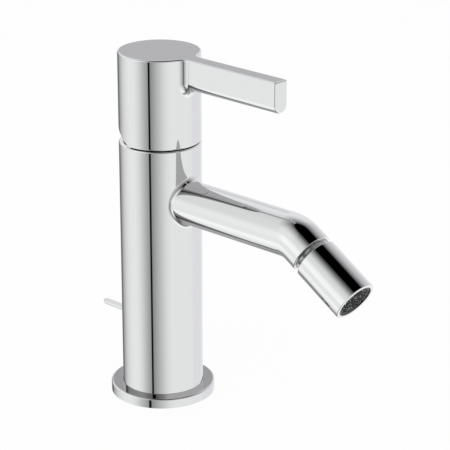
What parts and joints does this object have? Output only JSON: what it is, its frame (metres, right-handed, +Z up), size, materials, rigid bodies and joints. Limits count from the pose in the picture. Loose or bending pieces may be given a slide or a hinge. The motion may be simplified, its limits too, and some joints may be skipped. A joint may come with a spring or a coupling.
{
  "type": "bidet mixer",
  "caption": "Single-lever bidet mixer: round column, straight lever flush with the cap, level spout with a swivelling ball-jointed nozzle and a rear lift rod.",
  "frame": {"origin": "on the column's axis in the deck plane, which is the mouth of the fixing stud's hole", "axes": "+Z up along the column, +X along the lever and the spout, +Y to the user's right"},
  "size_m": [0.1794, 0.0542, 0.1839],
  "materials": {
    "chrome": "polished chrome plate",
    "brass": "machined brass",
    "copper": "drawn copper tube",
    "steel": "stainless steel",
    "rubber": "black nitrile rubber",
    "ceramic": "lapped alumina",
    "grey_plastic": "moulded acetal",
    "white_plastic": "moulded acetal",
    "black_plastic": "moulded acetal"
  },
  "bodies": {
    "mixer": {"body": "chrome", "base_ring": "chrome", "base_gasket": "rubber", "foot": "brass", "hot_inlet_tube": "copper", "cold_inlet_tube": "copper", "tube_seals": "rubber", "cartridge_base": "white_plastic", "port_seals": "rubber", "fixed_disc": "ceramic", "cartridge_housing": "grey_plastic", "cartridge_nut": "brass", "nut_cover": "chrome", "ball_seal": "rubber", "ball_seat": "white_plastic", "ball_nut": "chrome", "rod_guide": "white_plastic"},
    "turning_core": {"rotor": "white_plastic", "stem_pin": "steel"},
    "lever": {"handle": "chrome", "stem": "brass", "handle_screw": "steel", "screw_cover": "chrome"},
    "sliding_disc": {"moving_disc": "ceramic", "disc_carrier": "grey_plastic"},
    "swivel": {"slip_ring": "white_plastic"},
    "nozzle": {"swivel_ball": "chrome", "neck_seal": "rubber", "neck_nut": "brass", "nozzle_barrel": "chrome", "aerator_seal": "rubber", "aerator_housing": "black_plastic", "flow_disc": "black_plastic", "outlet_grille": "black_plastic"},
    "lift_rod": {"pull_rod": "brass", "rod_block": "brass", "block_screw": "steel", "knob_rod": "chrome"}
  },
  "joints": [
    {"name": "temperature_turn", "type": "hinge", "parent": "mixer", "child": "turning_core", "pos_m": [0, 0, 0.146], "axis": [0, 0, 1], "range_deg": [-50, 50]},
    {"name": "flow_lift", "type": "hinge", "parent": "turning_core", "child": "lever", "pos_m": [0, 0, 0.146], "axis": [0, -1, 0], "range_deg": [0, 25]},
    {"name": "disc_slide", "type": "slide", "parent": "turning_core", "child": "sliding_disc", "axis": [1, 0, 0], "range_m": [0, 0.00428]},
    {"name": "nozzle_turn", "type": "hinge", "parent": "mixer", "child": "swivel", "pos_m": [0.09926, 0, 0.10424], "axis": [0.8508, 0, -0.5255], "continuous": true},
    {"name": "nozzle_tilt", "type": "hinge", "parent": "swivel", "child": "nozzle", "pos_m": [0.09926, 0, 0.10424], "axis": [0, 1, 0], "range_deg": [-13, 13]},
    {"name": "waste_lift", "type": "slide", "parent": "mixer", "child": "lift_rod", "axis": [0, 0, 1], "range_m": [0, 0.018]}
  ],
  "couplings": [
    {"joint": "disc_slide", "follows": "flow_lift", "m_per_rad": 0.0098}
  ]
}
